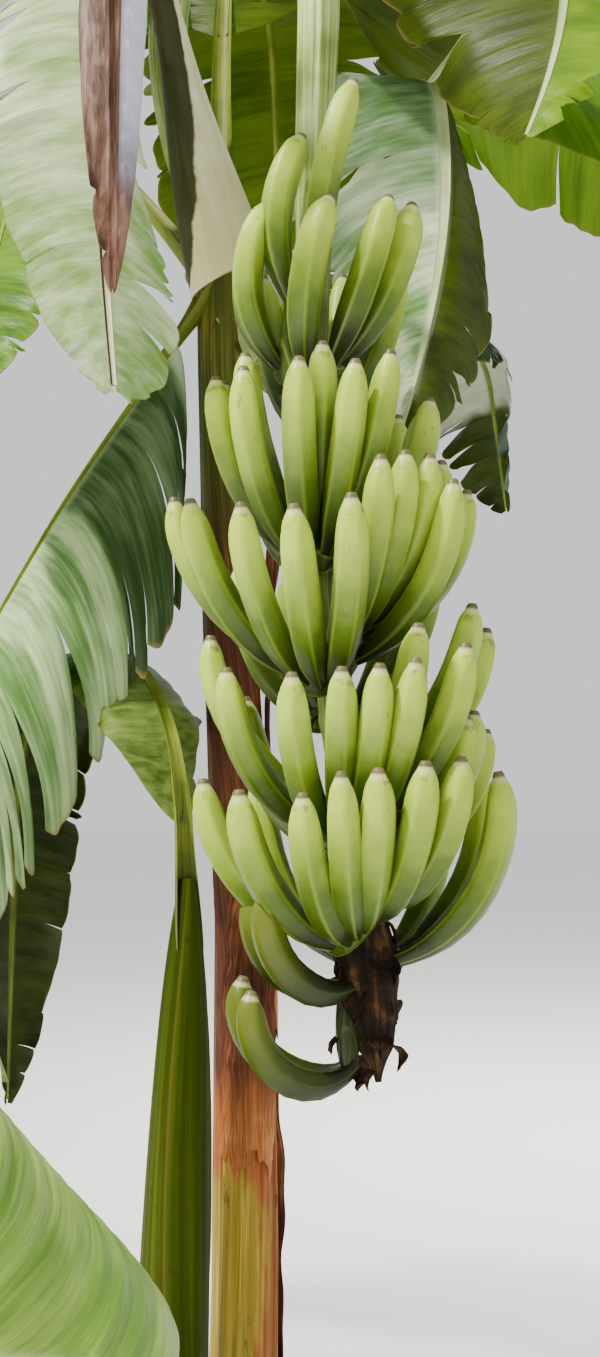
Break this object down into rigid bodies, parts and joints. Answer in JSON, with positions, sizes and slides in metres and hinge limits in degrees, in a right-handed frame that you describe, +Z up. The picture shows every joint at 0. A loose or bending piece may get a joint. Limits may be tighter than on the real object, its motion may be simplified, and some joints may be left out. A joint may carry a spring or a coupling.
{
  "type": "banana plant",
  "caption": "banana plant in fruit, rooted in the ground: a bearing stem of rolled sheaths with its crown of large leaves, a hanging bunch of green fruit, and a young sucker at its foot",
  "frame": {"origin": "the centre of the flat cut under the main stem, at ground level", "axes": "+Z is up along the plant, -Y is the side that the bunch hangs on, and +X is to the right of someone who faces the bunch"},
  "size_m": [2.4622, 2.0779, 3.6318],
  "materials": {
    "pseudostem": "satin, fibrous, streaked yellow-olive, orange-brown and red-brown",
    "sucker_pseudostem": "satin, fibrous, green",
    "fruit_stalk": "satin, ribbed, with bract scars",
    "dry_stalk": "matte, dried and rough",
    "fruit": "waxy skin, unripe green",
    "petiole": "satin, smooth and waxy",
    "leaf": "satin top with veins, paler and waxy below",
    "dry_leaf": "matte, papery and creased",
    "dry_sheath": "matte, papery and fibrous"
  },
  "bodies": {
    "root": {"main_stem": "pseudostem", "sucker_stem": "sucker_pseudostem", "fruit_stalk_rise": "fruit_stalk", "fruit_stalk_drop": "fruit_stalk", "fruit_stalk_bunch": "fruit_stalk", "fruit_stalk_end": "dry_stalk", "hand_01": "fruit", "hand_02": "fruit", "hand_03": "fruit", "hand_04": "fruit", "hand_05": "fruit", "hand_06": "fruit", "hand_07": "fruit", "hand_08": "fruit", "hand_09": "fruit", "hand_10": "fruit", "hand_11": "fruit", "dry_sheath_front": "dry_sheath", "dry_sheath_back": "dry_sheath", "dry_sheath_side": "dry_sheath", "leaf_low_left_petiole": "petiole", "leaf_low_left_inner": "leaf", "leaf_low_left_outer": "leaf", "leaf_front_left_petiole": "petiole", "leaf_front_left_inner": "leaf", "leaf_front_left_outer": "leaf", "leaf_dry_petiole": "dry_leaf", "leaf_dry_inner": "dry_leaf", "leaf_dry_outer": "dry_leaf", "leaf_far_left_petiole": "petiole", "leaf_far_left_inner": "leaf", "leaf_far_left_outer": "leaf", "leaf_back_hanging_petiole": "petiole", "leaf_back_hanging_inner": "leaf", "leaf_back_hanging_outer": "leaf", "leaf_right_petiole": "petiole", "leaf_right_inner": "leaf", "leaf_right_outer": "leaf", "leaf_front_right_petiole": "petiole", "leaf_front_right_inner": "leaf", "leaf_front_right_outer": "leaf", "leaf_back_right_petiole": "petiole", "leaf_back_right_inner": "leaf", "leaf_back_right_outer": "leaf", "leaf_back_left_petiole": "petiole", "leaf_back_left_inner": "leaf", "leaf_back_left_outer": "leaf", "leaf_upright_petiole": "petiole", "leaf_upright_inner": "leaf", "leaf_upright_outer": "leaf", "leaf_far_right_petiole": "petiole", "leaf_far_right_inner": "leaf", "leaf_far_right_outer": "leaf", "sucker_leaf_top_petiole": "petiole", "sucker_leaf_top_inner": "leaf", "sucker_leaf_top_outer": "leaf", "sucker_leaf_low_petiole": "petiole", "sucker_leaf_low_inner": "leaf", "sucker_leaf_low_outer": "leaf"}
  },
  "joints": []
}
